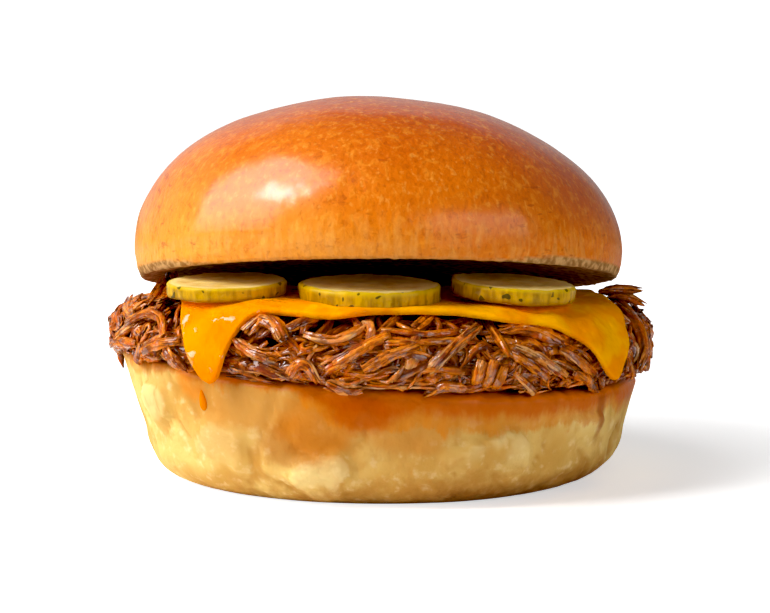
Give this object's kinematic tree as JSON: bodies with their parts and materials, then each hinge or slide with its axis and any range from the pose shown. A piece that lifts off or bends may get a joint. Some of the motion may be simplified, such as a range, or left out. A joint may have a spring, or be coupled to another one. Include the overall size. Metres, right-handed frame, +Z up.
{
  "type": "pulled pork sandwich",
  "caption": "Pulled pork sandwich: soft glazed bun with saucy shredded pork, a melted cheese slice and round pickle slices.",
  "frame": {"origin": "middle of the sandwich's footprint, on the surface that it stands on", "axes": "+Z up through the stack, +X to the right of the open front, -Y out of the front, where the cheese corners hang"},
  "size_m": [0.1245, 0.1211, 0.0852],
  "materials": {
    "bun_bread": "soft pale bread crust, matte, stained orange by sauce along its rim",
    "pork": "shredded meat, red-brown, glossy with sauce and fat",
    "cheese": "melted processed cheese, smooth, soft gloss",
    "pickle": "wet pickled cucumber, bumpy green-yellow skin and pale flesh",
    "bun_crust": "egg-washed golden-brown crust, glossy"
  },
  "bodies": {
    "root": {"bun_heel": "bun_bread", "pulled_pork": "pork", "cheese_slice": "cheese", "pickle_slice_left": "pickle", "pickle_slice_middle": "pickle", "pickle_slice_right": "pickle", "bun_crown": "bun_crust"}
  },
  "joints": []
}
